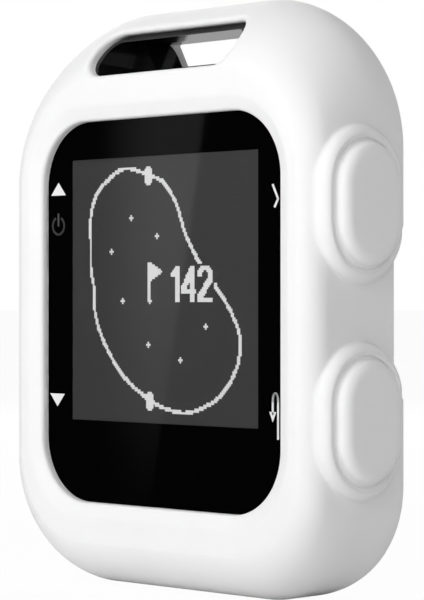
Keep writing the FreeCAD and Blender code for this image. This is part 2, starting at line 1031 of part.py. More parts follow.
def battery():
    """The flat cell behind the display, its sticky pad and its two short wires."""
    cell = plate(
        "battery",
        "battery_width",
        "battery_height",
        "battery_round",
        "carrier_back + tape_thick",
        "carrier_back + tape_thick + battery_thick",
        "battery_bottom",
    )
    pad = plate(
        "battery_tape",
        "battery_width - 4",
        "battery_height - 4",
        "battery_round",
        "carrier_back",
        "carrier_back + tape_thick",
        "battery_bottom + 2",
    )
    wires = [
        rod(
            f"{name}_wire",
            "lead_radius",
            "battery_bottom - board_bottom - slip_gap - plug_height",
            f"lead_x + {sign} * lead_pitch / 2",
            "board_front - plug_thick / 2",
            "board_bottom + slip_gap + plug_height",
            (0, 0, 1),
        )
        for name, sign in (("red", 1), ("black", -1))
    ]
    return [cell, pad, group("battery_lead", *wires)]


def charging_port():
    """The upright socket on the board, with its contact tongue inside."""
    mouth = f"({SHELL_BACK} - cap_recess)"
    shell = block(
        "port_shell",
        "-port_width / 2",
        BOARD_BACK,
        "port_z - port_height / 2",
        "port_width",
        f"{mouth} - {BOARD_BACK}",
        "port_height",
    )
    inside = block(
        "port_inside",
        "-port_width / 2 + port_wall",
        f"{BOARD_BACK} + port_floor",
        "port_z - port_height / 2 + port_wall",
        "port_width - 2 * port_wall",
        "body_depth",
        "port_height - 2 * port_wall",
    )
    tongue = block(
        "port_tongue",
        "-port_tongue_width / 2",
        f"{BOARD_BACK} + port_floor / 2",
        "port_z - port_tongue_thick / 2",
        "port_tongue_width",
        f"{mouth} - {BOARD_BACK} - port_floor / 2 - 2 * cap_plug_depth",
        "port_tongue_thick",
    )
    return boolean("MultiFuse", "usb_socket", boolean("Cut", "port_hollow", shell, inside), tongue)


def port_cap():
    """The rubber cap over the port: a lid with a short plug, held along its left edge."""
    front = f"({SHELL_BACK} - slip_gap - cap_thick)"
    lid = plate(
        "cap_lid",
        "cap_width",
        "cap_height",
        "cap_corner",
        front,
        f"{SHELL_BACK} - slip_gap",
        "port_z - cap_height / 2",
    )
    plug = block(
        "cap_plug",
        "-cap_plug_width / 2",
        f"{front} - cap_plug_depth",
        "port_z - cap_plug_height / 2",
        "cap_plug_width",
        "cap_plug_depth + slip_gap",
        "cap_plug_height",
    )
    return boolean("MultiFuse", "port_cap", lid, plug)


def button_parts(button):
    """One button: jacket pad, key, key seal, switch plunger and switch."""
    side, level = BUTTONS[button]
    sign = SIDES[side]
    height = f"button_middle + {level} * button_offset"
    pad = oblong(
        f"{button}_button_pad",
        button,
        girth(button, "pad_width"),
        girth(button, "pad_length"),
        KEY_TOP,
        f"{WALL_OUT} + pad_rise",
        "pad_round",
    )
    cap = oblong(f"{button}_key_cap", button, "key_width", "key_length", FLANGE_TOP, KEY_TOP)
    flange = oblong(
        f"{button}_key_flange", button, "flange_width", "flange_length", STEM_TOP, FLANGE_TOP
    )
    key = boolean("MultiFuse", f"{button}_key", cap, flange)
    seal_body = oblong(
        f"{button}_seal_body", button, "seal_width", "seal_length", SEAL_FOOT, SHELL_IN
    )
    seal_hole = oblong(
        f"{button}_seal_hole",
        button,
        "key_width + 2 * key_gap",
        "key_length + 2 * key_gap",
        f"{SEAL_FOOT} - 1",
        f"{SHELL_IN} + 1",
    )
    seal = boolean("Cut", f"{button}_key_seal", seal_body, seal_hole)
    stem = rod(
        f"{button}_switch_plunger",
        "stem_radius",
        "stem_height",
        f"{sign} * {STEM_TOP}",
        "button_depth",
        height,
        (-sign, 0, 0),
    )
    low = "switch_face - switch_height" if sign > 0 else "-switch_face"
    case = block(
        f"{button}_switch_case",
        low,
        "board_front - switch_tall",
        f"{height} - switch_width / 2",
        "switch_height",
        "switch_tall",
        "switch_width",
    )
    bore = rod(
        f"{button}_switch_bore",
        "stem_radius + key_gap",
        "switch_bore + 1",
        f"{sign} * (switch_face + 1)",
        "button_depth",
        height,
        (-sign, 0, 0),
    )
    return [pad, key, seal, stem, boolean("Cut", f"{button}_switch", case, bore)]


def build():
    """Every sub-part of the receiver, each labelled with its own name."""
    cavity_back = size("body_depth") - size("jacket_wall")
    cavity = crowned("jacket_cavity", size("front_lip"), cavity_back, size("jacket_wall"))
    gap = size("slip_gap")
    form = crowned(
        "device_form", size("front_lip") + gap, cavity_back - gap, size("jacket_wall") + gap
    )
    gasket = gasket_ring(
        "housing_gasket",
        "0",
        "split_depth - gasket_side / 2 + slip_gap",
        "split_depth + gasket_side / 2 - slip_gap",
    )
    nodes = [jacket(cavity), front_housing(form), rear_housing(form), gasket, housing_screws()]
    nodes += display_stack() + [circuit_board()] + board_parts() + battery()
    nodes += [charging_port(), port_cap()]
    for button in BUTTONS:
        nodes += button_parts(button)
    return nodes


def check(nodes):
    """Stops the build if any object failed or any sub-part has no sound shape."""
    for item in doc.Objects:
        if {"Invalid", "Error"} & set(item.State):
            raise RuntimeError(f"{item.Label} failed: {item.State}")
    for node in nodes:
        if node.Shape.isNull() or not node.Shape.isValid() or not node.Shape.Solids:
            raise RuntimeError(f"{node.Label} has no sound shape")


parts = build()
doc.recompute()
check(parts)
os.makedirs("parts", exist_ok=True)
for part in parts:
    part.Shape.exportStep(f"parts/{part.Label}.step")
    print(f"{part.Label}: {len(part.Shape.Solids)} solid, {part.Shape.Volume:.1f} mm3")
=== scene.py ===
"""The looks of a golf GPS receiver in a silicone jacket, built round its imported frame.

Lengths are in millimetres until a mesh is made: x to the right of the screen, depth back from
the jacket's front plane, z up from the base.
"""

import json
import math

import bpy
import numpy as np
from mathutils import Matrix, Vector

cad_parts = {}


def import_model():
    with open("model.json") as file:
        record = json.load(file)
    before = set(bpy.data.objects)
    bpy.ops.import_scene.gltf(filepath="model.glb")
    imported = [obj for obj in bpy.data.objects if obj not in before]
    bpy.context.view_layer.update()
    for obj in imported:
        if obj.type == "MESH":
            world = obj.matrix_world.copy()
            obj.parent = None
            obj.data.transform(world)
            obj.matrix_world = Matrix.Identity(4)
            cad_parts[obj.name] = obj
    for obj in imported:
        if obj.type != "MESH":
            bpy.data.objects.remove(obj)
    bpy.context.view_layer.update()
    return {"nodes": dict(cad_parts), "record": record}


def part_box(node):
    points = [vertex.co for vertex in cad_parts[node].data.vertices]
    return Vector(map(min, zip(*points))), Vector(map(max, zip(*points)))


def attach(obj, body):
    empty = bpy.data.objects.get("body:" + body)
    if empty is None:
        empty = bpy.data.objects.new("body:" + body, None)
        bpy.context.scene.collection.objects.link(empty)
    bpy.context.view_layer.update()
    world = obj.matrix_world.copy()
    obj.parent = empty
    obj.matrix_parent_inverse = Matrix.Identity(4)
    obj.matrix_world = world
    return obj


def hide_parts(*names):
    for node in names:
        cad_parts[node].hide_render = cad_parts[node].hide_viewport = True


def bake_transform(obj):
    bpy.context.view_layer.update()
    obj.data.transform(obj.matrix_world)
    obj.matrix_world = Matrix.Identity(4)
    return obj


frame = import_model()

import openvdb
from mathutils import Vector

MM = 0.001
SIDES = {"up": -1, "down": -1, "ok": 1, "back": 1}


def corners(node):
    """A node's lowest and highest corner, in millimetres."""
    low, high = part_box(node)
    return np.array(low) / MM, np.array(high) / MM


JACKET_LOW, JACKET_HIGH = corners("silicone_jacket")
HOUSING_LOW, HOUSING_HIGH = corners("front_housing")
PAD_LOW, PAD_HIGH = corners("ok_button_pad")
LOW_PAD_LOW, LOW_PAD_HIGH = corners("back_button_pad")
LEFT_PAD_LOW, LEFT_PAD_HIGH = corners("up_button_pad")
GLASS_LOW, GLASS_HIGH = corners("cover_glass")
PANEL_LOW, PANEL_HIGH = corners("lcd_panel")

# the jacket's crowned form
FRONT = JACKET_LOW[1]
DEPTH = JACKET_HIGH[1] - FRONT
HEIGHT = JACKET_HIGH[2]
WALL = 1.5
SLIP = 0.05
HALF_WIDTH = HOUSING_HIGH[0] + WALL + SLIP
LIP = 1.2
SIDE_ROUND = 2.9
TOP_CORNER = 15.75
BOTTOM_CORNER = 12.85
TIGHTEST_CORNER = 2.0
TOP_SLOPE = (8.8, 10.5, 1.5)
BOTTOM_SLOPE = (5.9, 7.6, 1.8)
BACK_TOP = (3.4, 5.5)
BACK_BOTTOM = (1.2, 3.4)
BACK_SIDE_ROUND = 0.5

# the window, its bevelled frame and the edging that reaches back to the print on the glass
WINDOW_HALF = (20.5, 23.45)
WINDOW_Z = 33.75
WINDOW_CORNER = 7.85
WINDOW_ROUND = 0.3
BEVEL_WIDTH = 1.75
BEVEL_DROP = 0.65
BEVEL_BLEND = 0.3
EDGING_WIDTH = 0.8
EDGING_BACK = 1.9

# the lanyard slot and the open band across the back
SLOT_HALF = (12.35, 2.7)
SLOT_Z = 65.3
SLOT_CORNER = 2.5
SLOT_ROUND = 0.6
SLOT_RISE = 0.55
SLOT_RISE_DEPTH = 0.8
SLOT_SPLIT = 9.5
SLOT_BACK_HALF = (10.03, 2.55)
SLOT_BACK_Z = 65.15
SLOT_LEAN = 0.54
SLOT_BACK_ROUND = 0.25
BAND_Z = 33.7
BAND_HALF = 9.8
BAND_DEPTH = 14.3
BAND_ROUND = 0.35

# buttons: a raised boss with a shallow dish, and a pad standing in it
BUTTON_DEPTH = (PAD_LOW[1] + PAD_HIGH[1]) / 2 - FRONT
BUTTON_MIDDLE = (PAD_HIGH[2] + LOW_PAD_LOW[2]) / 2
BUTTON_OFFSET = (PAD_HIGH[2] + PAD_LOW[2]) / 2 - BUTTON_MIDDLE
PAD_RADIUS = (PAD_HIGH[1] - PAD_LOW[1]) / 2
PAD_RUN = (PAD_HIGH[2] - PAD_LOW[2]) / 2 - PAD_RADIUS
LEFT_STEP = PAD_RADIUS - (LEFT_PAD_HIGH[1] - LEFT_PAD_LOW[1]) / 2
PAD_TOP = PAD_HIGH[0]
PAD_EDGE = 1.4
PAD_EDGE_STEPS = 12
PAD_FLAT = 0.25
PAD_GAP = 0.1
PAD_TURN_STEPS = 40
FOOT_REACH = 0.42
FOOT_BRIM = 0.03
FOOT_STEP = 0.012
FOOT_RISE = 0.3
FOOT_STEPS = 8
FOOT_DEPTH = 0.6
BOSS_RADIUS = 6.8
BOSS_RUN = 2.25
BOSS_TOP = HALF_WIDTH + 1.5
BOSS_ROUND = 1.35
BOSS_FILLET = 0.35
DISH_RADIUS = 5.95
DISH_FLOOR = BOSS_TOP - 0.3
DISH_ROUND = 0.28
DISH_GAP = 0.01

# how finely the jacket is meshed
CELL = 0.3
FINE_CELL = 0.15
FINE_DEPTH = 3.0
BAND_KEPT = 0.9
MARGIN = 0.6
PROBE = 0.02
NORMAL_PROBE = 0.06
LONGEST_STEP = 0.2
GENTLEST_SLOPE = 0.25
TINY = 1e-9
JACKET_FACES = 190000


# ---------------------------------------------------------------- distance fields


def round_max(a, b, radius):
    """The larger of two distances, with the edge between the two surfaces rounded."""
    larger = np.maximum(a, b)
    over = np.hypot(np.maximum(a + radius, 0), np.maximum(b + radius, 0)) - radius
    return np.where(larger < -radius, larger, over)


def round_min(a, b, radius):
    """The smaller of two distances, with the corner between the two surfaces filleted."""
    return -round_max(-a, -b, radius)


def rounded_box(across, up, half, radius):
    """Distance to a rectangle with rounded corners, centred where across and up are zero."""
    side = np.abs(across) - half[0] + radius
    end = np.abs(up) - half[1] + radius
    outside = np.hypot(np.maximum(side, 0), np.maximum(end, 0))
    return outside + np.minimum(np.maximum(side, end), 0) - radius


def oblong(x, depth, z, radius, run):
    """Distance to the outline of the nearest button, smaller all round on the left."""
    along = np.abs(np.abs(z - BUTTON_MIDDLE) - BUTTON_OFFSET)
    radius = radius - LEFT_STEP * (x < 0)
    return np.hypot(depth - BUTTON_DEPTH, np.maximum(along - run, 0)) - radius


def ease(distance, drop, depth, power):
    """How far a rounded edge still drops at a distance behind the plane where it starts."""
    left = np.clip(1 - distance / depth, 0, 1)
    return drop * (1 - (1 - left**power) ** (1 / power))


def section(x, depth, z, front, back, inset):
    """The crowned form's outline at each depth, as a signed level in the x, z plane."""
    ahead, behind = depth - front, back - depth
    side = inset + ease(ahead, SIDE_ROUND, SIDE_ROUND, 2)
    side = side + ease(behind, BACK_SIDE_ROUND, BACK_SIDE_ROUND, 2)
    over = inset + ease(ahead, *TOP_SLOPE) + ease(behind, *BACK_TOP, 2)
    under = inset + ease(ahead, *BOTTOM_SLOPE) + ease(behind, *BACK_BOTTOM, 2)
    high = np.maximum(TIGHTEST_CORNER, TOP_CORNER - np.minimum(side, over))
    low = np.maximum(TIGHTEST_CORNER, BOTTOM_CORNER - np.minimum(side, under))
    middle = (HEIGHT - over + under) / 2
    half = (HALF_WIDTH - side, (HEIGHT - over - under) / 2)
    return rounded_box(x, z - middle, half, np.where(z > middle, high, low))


def crowned(x, depth, z, front, back, inset):
    """Distance to the crowned form between two planes, true close to its surface."""
    level = section(x, depth, z, front, back, inset)
    slope = 0
    for dx, dv, dz in ((PROBE, 0, 0), (0, PROBE, 0), (0, 0, PROBE)):
        beside = section(x + dx, depth + dv, z + dz, front, back, inset)
        slope = slope + ((beside - level) / PROBE) ** 2
    level = level / np.maximum(np.sqrt(slope), 1)
    return np.maximum(level, np.maximum(front - depth, depth - back))


def bevel(window, depth):
    """Distance to the frame that slopes in to the window, given the distance to its outline."""
    ramp = np.clip(BEVEL_WIDTH - window, -BEVEL_BLEND, None)
    near = (ramp + BEVEL_BLEND) ** 2 / (4 * BEVEL_BLEND)
    ramp = np.where(ramp < BEVEL_BLEND, near, ramp)
    tilt = BEVEL_DROP / BEVEL_WIDTH
    return (np.minimum(ramp, 2 * BEVEL_WIDTH) * tilt - depth) / math.hypot(1, tilt)


def slot_front(x, depth, z, crown):
    """Distance to the front stretch of the slot, whose roof leans up towards the surface."""
    rise = np.maximum(SLOT_RISE_DEPTH + crown, 0) * SLOT_RISE / 2
    half = (SLOT_HALF[0], SLOT_HALF[1] + rise)
    return np.maximum(rounded_box(x, z - SLOT_Z - rise, half, SLOT_CORNER), depth - SLOT_SPLIT)


def slot_back(x, depth, z):
    """Distance to the back stretch of the slot, with its leaning ends."""
    up = z - SLOT_BACK_Z
    ends = (np.abs(x) - SLOT_BACK_HALF[0] - SLOT_LEAN * up) / math.hypot(1, SLOT_LEAN)
    return np.maximum(np.maximum(ends, np.abs(up) - SLOT_BACK_HALF[1]), SLOT_SPLIT - depth)


def jacket_field(x, depth, z):
    """Signed distance to the silicone jacket, negative inside the silicone."""
    out = np.abs(x)
    window = rounded_box(x, z - WINDOW_Z, WINDOW_HALF, WINDOW_CORNER)
    crown = crowned(x, depth, z, 0, DEPTH, 0)
    body = np.maximum(crown, bevel(window, depth))
    boss = round_max(oblong(x, depth, z, BOSS_RADIUS, BOSS_RUN), out - BOSS_TOP, BOSS_ROUND)
    body = round_min(body, boss, BOSS_FILLET)
    dish = round_max(oblong(x, depth, z, DISH_RADIUS, PAD_RUN), DISH_FLOOR - out, DISH_ROUND)
    body = round_max(body, -dish, DISH_ROUND)
    body = round_max(body, -slot_front(x, depth, z, crown), SLOT_ROUND)
    body = round_max(body, -slot_back(x, depth, z), SLOT_BACK_ROUND)
    body = round_max(body, -window, WINDOW_ROUND)
    band = np.maximum(np.abs(z - BAND_Z) - BAND_HALF, BAND_DEPTH - depth)
    body = round_max(body, -band, BAND_ROUND)

    cavity = crowned(x, depth, z, LIP, DEPTH - WALL, WALL)
    edging = np.maximum(window - EDGING_WIDTH, depth - EDGING_BACK)
    body = np.maximum(body, -np.maximum(cavity, -edging))
    hole = oblong(x, depth, z, PAD_RADIUS + PAD_GAP, PAD_RUN)
    hole = np.maximum(hole, HALF_WIDTH - 2 * WALL - out)
    return np.maximum(body, -hole)


def gradient(field, points, probe):
    """The field's gradient at each point, from central differences."""
    found = np.empty_like(points)
    for axis in range(3):
        shift = np.zeros(3)
        shift[axis] = probe
        ahead = field(*(points + shift).T)
        found[:, axis] = (ahead - field(*(points - shift).T)) / (2 * probe)
    return found


def settle(field, points, rounds):
    """Moves points on to the field's zero surface."""
    for _ in range(rounds):
        slope = gradient(field, points, PROBE)
        steepness = np.maximum((slope**2).sum(1), GENTLEST_SLOPE)
        move = -(field(*points.T) / steepness)[:, None] * slope
        length = np.maximum(np.linalg.norm(move, axis=1), TINY)
        points = points + move * np.minimum(1, LONGEST_STEP / length)[:, None]
    return points


# ---------------------------------------------------------------- meshes


def to_metres(points):
    """Points in x, depth, z millimetres as metres in the shared frame."""
    return (np.asarray(points, float) + np.array((0, FRONT, 0))) * MM


def new_piece(name, points, faces, material, body="receiver", smooth=True):
    """A mesh piece from points in millimetres, riding on a body."""
    mesh = bpy.data.meshes.new(name)
    mesh.from_pydata(to_metres(points).tolist(), [], faces)
    mesh.update()
    mesh.polygons.foreach_set("use_smooth", [smooth] * len(mesh.polygons))
    piece = bpy.data.objects.new(name, mesh)
    bpy.context.scene.collection.objects.link(piece)
    mesh.materials.append(material)
    if body:
        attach(piece, body)
    return piece


def surface_of(field, low, high):
    """Quads over a field's zero surface between two corners, finer near the front."""
    across = np.arange(low[0], high[0], CELL)
    fine = np.arange(low[1], low[1] + FINE_DEPTH, FINE_CELL)
    behind = np.concatenate([fine, np.arange(low[1] + FINE_DEPTH, high[1], CELL)])
    up = np.arange(low[2], high[2], CELL)
    x, depth, z = np.meshgrid(across, behind, up, indexing="ij")
    values = np.clip(field(x, depth, z), -BAND_KEPT, BAND_KEPT)
    grid = openvdb.FloatGrid(BAND_KEPT)
    grid.copyFromArray(values)
    points, quads = grid.convertToQuads(0.0)
    places = []
    for axis, line in enumerate((across, behind, up)):
        places.append(np.interp(points[:, axis], np.arange(len(line)), line))
    return np.stack(places, axis=1), quads


def thinned(piece, faces):
    """Replaces a piece's mesh by one of fewer triangles, dense only where it curves."""
    share = faces / sum(len(p.vertices) - 2 for p in piece.data.polygons)
    if share < 1:
        modifier = piece.modifiers.new("thin", "DECIMATE")
        modifier.ratio = share
        graph = bpy.context.evaluated_depsgraph_get()
        slim = bpy.data.meshes.new_from_object(piece.evaluated_get(graph))
        piece.modifiers.remove(modifier)
        piece.data = slim


def silicone_jacket(material):
    """The jacket's skin with its soft edges, in place of the plain CAD solid."""
    low = np.array((-BOSS_TOP, 0, 0)) - MARGIN
    high = np.array((BOSS_TOP, DEPTH, HEIGHT)) + MARGIN
    points, quads = surface_of(jacket_field, low, high)
    points = settle(jacket_field, points.astype(float), 3)
    piece = new_piece("jacket_skin", points, quads.tolist(), material)
    thinned(piece, JACKET_FACES)
    mesh = piece.data
    places = np.empty(len(mesh.vertices) * 3)
    mesh.vertices.foreach_get("co", places)
    places = places.reshape(-1, 3) / MM - np.array((0, FRONT, 0))
    places = settle(jacket_field, places, 2)
    mesh.vertices.foreach_set("co", to_metres(places).ravel())
    mesh.polygons.foreach_set("use_smooth", [True] * len(mesh.polygons))
    slopes = gradient(jacket_field, places, NORMAL_PROBE)
    slopes /= np.maximum(np.linalg.norm(slopes, axis=1), TINY)[:, None]
    mesh.update()
    mesh.normals_split_custom_set_from_vertices(slopes.tolist())
    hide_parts("silicone_jacket")
    return piece


def ring_faces(rings, count):
    """Quads between rings of count points each, listed one ring after another."""
    faces = []
    for ring in range(rings - 1):
        for step in range(count):
            a = ring * count + step
            b = ring * count + (step + 1) % count
            faces.append((a, b, b + count, a + count))
    return faces


def pad_profile(foot, shoulder):
    """A pad's edge from its hidden foot to its flat top, as reach outwards and height."""
    base = foot + FOOT_STEP
    profile = [(0.0, foot - FOOT_DEPTH), (0.0, foot), (FOOT_REACH, foot)]
    profile.append((FOOT_REACH + FOOT_BRIM, base))
    for step in range(1, FOOT_STEPS + 1):
        turn = math.radians(90 * step / FOOT_STEPS)
        profile.append((FOOT_REACH * (1 - math.sin(turn)), base + FOOT_RISE * (1 - math.cos(turn))))
    start = max(shoulder, profile[-1][1] + 2 * DISH_GAP)
    for step in range(PAD_EDGE_STEPS + 1):
        turn = math.radians(90 * step / PAD_EDGE_STEPS)
        rise = (PAD_TOP - start) * math.sin(turn)
        profile.append((-PAD_EDGE * (1 - math.cos(turn)), start + rise))
    profile.append((-PAD_EDGE - PAD_FLAT, PAD_TOP))
    return profile


def button_pad(button, material):
    """One silicone pad: flat top, rolled edge and a thin foot that spreads into the dish."""
    sign = SIDES[button]
    low, high = corners(f"{button}_button_pad")
    middle_z = (low[2] + high[2]) / 2
    girth = (high[1] - low[1]) / 2
    foot = DISH_FLOOR + DISH_GAP
    shoulder = PAD_TOP - PAD_EDGE
    profile = pad_profile(foot, shoulder)
    points = []
    for out, level in profile:
        radius = girth + out
        for end, first in ((1, 0), (-1, 180)):
            for step in range(PAD_TURN_STEPS):
                turn = math.radians(first + 180 * step / (PAD_TURN_STEPS - 1))
                depth = BUTTON_DEPTH + radius * math.cos(turn)
                z = middle_z + end * PAD_RUN + radius * math.sin(turn)
                points.append((sign * level, depth, z))
    count = 2 * PAD_TURN_STEPS
    faces = ring_faces(len(profile), count)
    faces.append(tuple(reversed(range(count))))
    last = (len(profile) - 1) * count
    faces.append(tuple(range(last, last + count)))
    if sign < 0:
        faces = [tuple(reversed(face)) for face in faces]
    pad = new_piece(f"{button}_pad_skin", points, faces, material, body=None)
    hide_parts(f"{button}_button_pad")
    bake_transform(pad)
    return pad


def slab(name, outlines, front, back, material):
    """Flat shapes of the same thickness in one piece, each an outline in x, z."""
    points, faces = [], []
    for outline in outlines:
        first = len(points)
        count = len(outline)
        points += [(x, front, z) for x, z in outline] + [(x, back, z) for x, z in outline]
        faces.append(tuple(range(first, first + count)))
        faces.append(tuple(range(first + 2 * count - 1, first + count - 1, -1)))
        for step in range(count):
            a, b = first + step, first + (step + 1) % count
            faces.append((a, a + count, b + count, b))
    return new_piece(name, points, faces, material, smooth=False)


def rounded_outline(half, radius, middle_z):
    """Points round a rectangle with rounded corners, counter-clockwise from the lower right."""
    points = []
    for sx, sz, first in ((1, -1, -90), (1, 1, 0), (-1, 1, 90), (-1, -1, 180)):
        for step in range(CORNER_STEPS + 1):
            turn = math.radians(first + 90 * step / CORNER_STEPS)
            x = sx * (half[0] - radius) + radius * math.cos(turn)
            points.append((x, middle_z + sz * (half[1] - radius) + radius * math.sin(turn)))
    return points


def ribbon(path, width):
    """A stroke of even width along a path, as quads' outlines."""
    path = [np.array(point, float) for point in path]
    pieces = []
    for a, b in zip(path, path[1:]):
        along = (b - a) / np.linalg.norm(b - a)
        side = np.array((-along[1], along[0])) * width / 2
        reach = along * width * 0.2
        start, end = a - reach, b + reach
        pieces.append([tuple(p) for p in (start - side, end - side, end + side, start + side)])
    return pieces


def arc(middle, radii, first, last, steps):
    """Points along an ellipse's arc, angles in degrees."""
    points = []
    for step in range(steps + 1):
        turn = math.radians(first + (last - first) * step / steps)
        x = middle[0] + radii[0] * math.cos(turn)
        points.append((x, middle[1] + radii[1] * math.sin(turn)))
    return points


# ---------------------------------------------------------------- the window's contents

GLASS_BACK = GLASS_HIGH[1] - FRONT
PANEL_FRONT = PANEL_LOW[1] - FRONT
MASK_BACK = GLASS_BACK - 0.01
MASK_FRONT = MASK_BACK - 0.03
INK_BACK = MASK_FRONT - 0.005
INK_FRONT = INK_BACK - 0.02
SHROUD_BACK = PANEL_FRONT - 0.02
SHROUD_WALL = 0.3
MASK_GAP = 0.1
MASK_CORNER = 8.3
CORNER_STEPS = 12
DISPLAY_HALF = 16.1
DISPLAY_CORNER = 0.15
DISPLAY_Z = 36.47
DISPLAY_CELLS = 128
CELL_SIZE = 2 * DISPLAY_HALF / DISPLAY_CELLS
CELL_FRONT = PANEL_FRONT - 0.025
CELL_BACK = PANEL_FRONT - 0.005
BLOBS = ((54, 9), (55, 117))
BLOB_HALF = (2.9, 4.9)
DIGIT_COLUMNS = (70, 77, 88)
DIGIT_ROW = 53
FLAG_AT = (54, 51)
DOTS = ((42, 29), (60, 38), (28, 45), (36, 69), (93, 81), (54, 90), (76, 97))
ARROW_HALF = 1.38
UP_X, UP_Z = -18.58, (48.3, 49.9)
DOWN_X, DOWN_Z = -18.77, (23.5, 21.9)
POWER_AT = (-18.6, 44.5)
POWER_RADIUS = 1.07
POWER_GAP = (122, 418)
POWER_BAR = 1.5
STROKE = 0.3
MARK_X = 18.85
MARK_HALF = 0.42
TICK_Z = (48.4, 46.75, 45.85)
TICK_TAIL = 0.3
HOOK_Z = (19.3, 23.6)
HOOK_RISE = 0.9
HEAD_HALF = 0.55
HEAD_Z = (22.4, 21.2)


def ink_mask(material):
    """The black print on the back of the glass, with a shroud down to the display."""
    half = [(GLASS_HIGH[axis] - GLASS_LOW[axis]) / 2 - MASK_GAP for axis in (0, 2)]
    outer = rounded_outline(half, MASK_CORNER, (GLASS_HIGH[2] + GLASS_LOW[2]) / 2)
    inner = rounded_outline((DISPLAY_HALF, DISPLAY_HALF), DISPLAY_CORNER, DISPLAY_Z)
    rim = DISPLAY_HALF + SHROUD_WALL
    shroud = rounded_outline((rim, rim), DISPLAY_CORNER + SHROUD_WALL, DISPLAY_Z)
    rings = [(outer, MASK_FRONT), (inner, MASK_FRONT), (inner, SHROUD_BACK)]
    rings += [(shroud, SHROUD_BACK), (shroud, MASK_BACK), (outer, MASK_BACK)]
    rings.append(rings[0])
    points = [(x, depth, z) for ring, depth in rings for x, z in ring]
    faces = [tuple(reversed(face)) for face in ring_faces(len(rings), len(outer))]
    return new_piece("ink_mask", points, faces, material, smooth=False)


def legends(white, grey):
    """Arrows, power sign, tick and return sign printed beside the display."""
    arrows = []
    for x, (foot, tip) in ((UP_X, UP_Z), (DOWN_X, DOWN_Z)):
        sides = [(x - ARROW_HALF, foot), (x + ARROW_HALF, foot), (x, tip)]
        arrows.append(sides if tip > foot else [sides[0], sides[2], sides[1]])
    slab("arrow_legends", arrows, INK_FRONT, INK_BACK, white)

    x, z = POWER_AT
    ring = ribbon(arc(POWER_AT, (POWER_RADIUS, POWER_RADIUS), *POWER_GAP, 24), STROKE)
    bar = ribbon([(x, z), (x, z + POWER_BAR)], STROKE)
    slab("power_legend", ring + bar, INK_FRONT, INK_BACK, grey)

    left, right = MARK_X - MARK_HALF, MARK_X + MARK_HALF
    tick = [(left + TICK_TAIL, TICK_Z[2]), (right, TICK_Z[1]), (left, TICK_Z[0])]
    hook = [(right, HOOK_Z[0])] + arc((MARK_X, HOOK_Z[1]), (MARK_HALF, HOOK_RISE), 0, 180, 12)
    hook.append((left, HEAD_Z[0] - STROKE))
    head = [(left - HEAD_HALF, HEAD_Z[0]), (left, HEAD_Z[1]), (left + HEAD_HALF, HEAD_Z[0])]
    signs = ribbon(tick, STROKE) + ribbon(hook, STROKE) + [head]
    slab("button_legends", signs, INK_FRONT, INK_BACK, white)


def smooth_loop(knots, steps):
    """A closed curve through its knots."""
    knots = [np.array(knot, float) for knot in knots]
    count = len(knots)
    points = []
    for index in range(count):
        a, b, c, d = (knots[(index + shift) % count] for shift in (-1, 0, 1, 2))
        for step in range(steps):
            t = step / steps
            bend = (2 * a - 5 * b + 4 * c - d) * t * t + (3 * b - a - 3 * c + d) * t**3
            points.append(0.5 * (2 * b + (c - a) * t + bend))
    return points


def stroke_cells(path, nib):
    """The display cells that a nib of half width and half height covers along a path."""
    found = set()
    for a, b in zip(path, path[1:]):
        a, b = np.array(a, float), np.array(b, float)
        steps = int(np.abs(b - a).max() * 3) + 1
        for step in range(steps + 1):
            place = a + (b - a) * step / steps
            low = np.ceil(place - nib - 0.5).astype(int)
            high = np.floor(place + nib - 0.5).astype(int)
            for column in range(low[0], high[0] + 1):
                found |= {(column, row) for row in range(low[1], high[1] + 1)}
    return found


def green_cells():
    """The outline of a golf green, with a small blob at each end."""
    knots = [
        (13.4, 41), (13.4, 29), (17, 18.5), (24, 12), (34, 6.3), (42, 5.6), (54.7, 9.2), (65, 13),
        (74, 24), (80, 38), (89, 51), (100, 62.5), (111, 76), (116, 88), (113.5, 101), (104, 113),
        (91, 119.8), (78, 122.3), (62, 119.5), (46, 112), (34, 103), (23, 89.5), (16.8, 76),
        (15.6, 62), (13.7, 54),
    ]
    loop = smooth_loop(knots, 8)
    lit = stroke_cells(loop + loop[:1], np.array((0.8, 0.75)))
    for column, row in BLOBS:
        for i in range(-3, 4):
            for j in range(-5, 6):
                if (i / BLOB_HALF[0]) ** 2 + (j / BLOB_HALF[1]) ** 2 <= 1:
                    lit.add((column + i, row + j))
    return lit


def readout_cells():
    """The distance, in digits ten cells wide and seventeen tall."""
    digits = {
        "1": [[(1.5, 4), (2.5, 3.4), (4.5, 1)], [(4.5, 1), (4.5, 16)]],
        "4": [[(7.5, 1), (1.5, 11), (1.5, 12), (8.5, 12)], [(7.5, 1), (7.5, 16)]],
        "2": [[(1.5, 4), (1.9, 2.5), (3.5, 1), (6.5, 1), (8.5, 3), (8.5, 6.5)],
              [(8.5, 6.5), (1.5, 14.5), (1.5, 16), (8.5, 16)]],
    }
    lit = set()
    for start, digit in zip(DIGIT_COLUMNS, "142"):
        for path in digits[digit]:
            shifted = [(start + column, DIGIT_ROW + row) for column, row in path]
            lit |= stroke_cells(shifted, np.array((1.49, 0.99)))
    return lit


def flag_cells():
    """A flag on its pole."""
    column, row = FLAG_AT
    lit = {(column + step, row + down) for step in (0, 1) for down in range(19)}
    lit |= {(column + 1, row + 19), (column + 2, row + 18)}
    for down in range(9):
        reach = round(min(8, 8.6 - 1.85 * abs(down - 4)))
        lit |= {(column + 2 + step, row + down) for step in range(reach)}
    return lit


def display_picture():
    """The lit cells: a green's outline, a flag, the distance and dots."""
    readout = readout_cells()
    clear = {(c + i, r + j) for c, r in readout for i in (-1, 0, 1) for j in (-1, 0, 1)}
    lit = (green_cells() - clear) | readout | flag_cells()
    for column, row in DOTS:
        lit |= {(column + i, row + j) for i, j in ((0, 0), (1, 0), (-1, 0), (0, 1), (0, -1))}
    return lit


